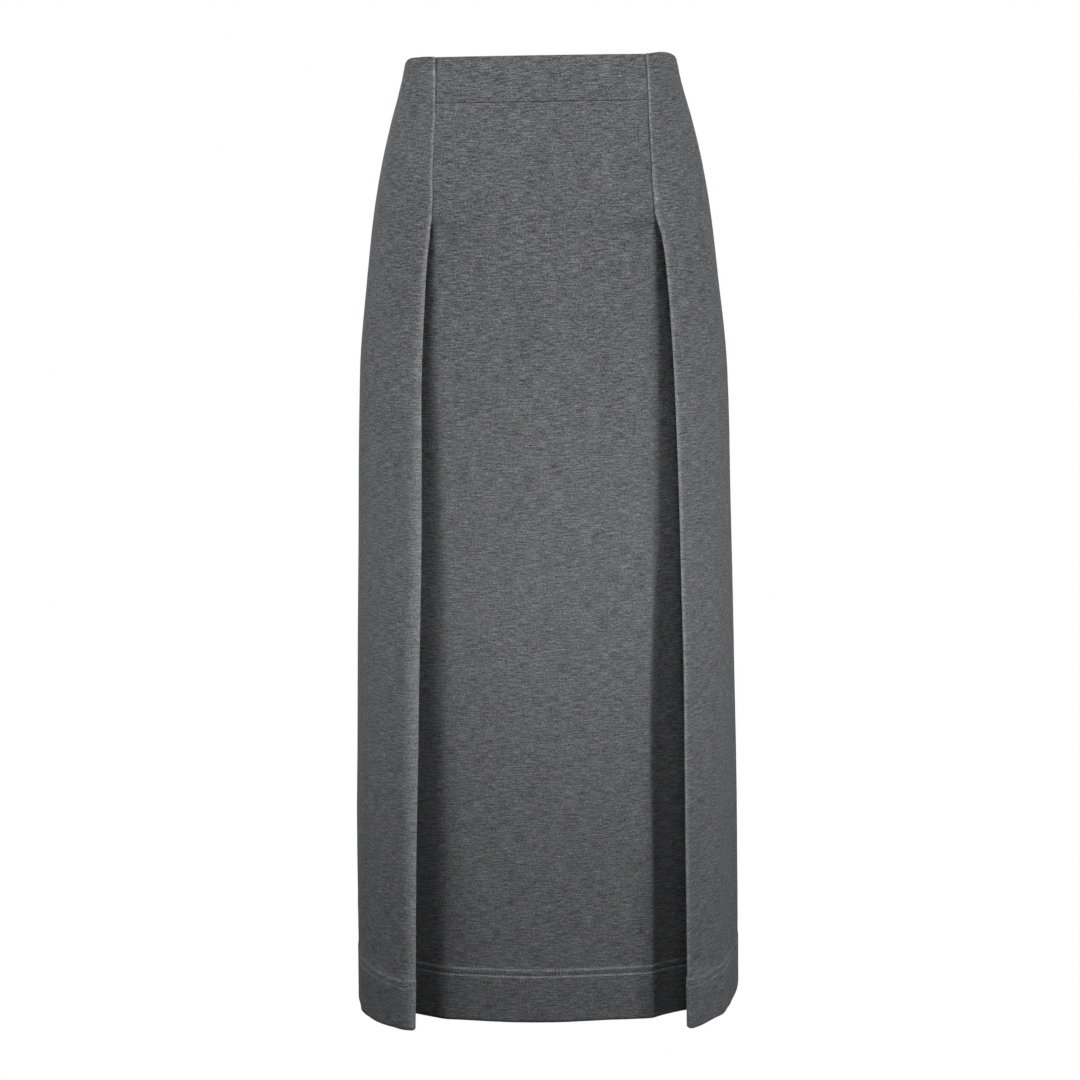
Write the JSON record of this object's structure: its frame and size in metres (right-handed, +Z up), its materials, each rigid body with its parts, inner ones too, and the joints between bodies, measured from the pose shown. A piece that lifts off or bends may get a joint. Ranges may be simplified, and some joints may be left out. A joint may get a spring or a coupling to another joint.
{
  "type": "skirt",
  "caption": "Midi skirt in heavy melange jersey: inset front waist band, plain centre panel between deep open pleats, flat side panels, plain back and turned-up hem.",
  "frame": {"origin": "middle of the waist opening, level with the top edge, where the wearer holds the skirt", "axes": "+Z up along the body, the front faces -Y, +X on the right of someone who looks at the front"},
  "size_m": [0.3616, 0.252, 0.8804],
  "materials": {
    "grey_jersey": "matt brushed melange double knit"
  },
  "bodies": {
    "root": {"front_band": "grey_jersey", "front_centre": "grey_jersey", "side_front_left": "grey_jersey", "side_front_right": "grey_jersey", "back": "grey_jersey"}
  },
  "joints": []
}
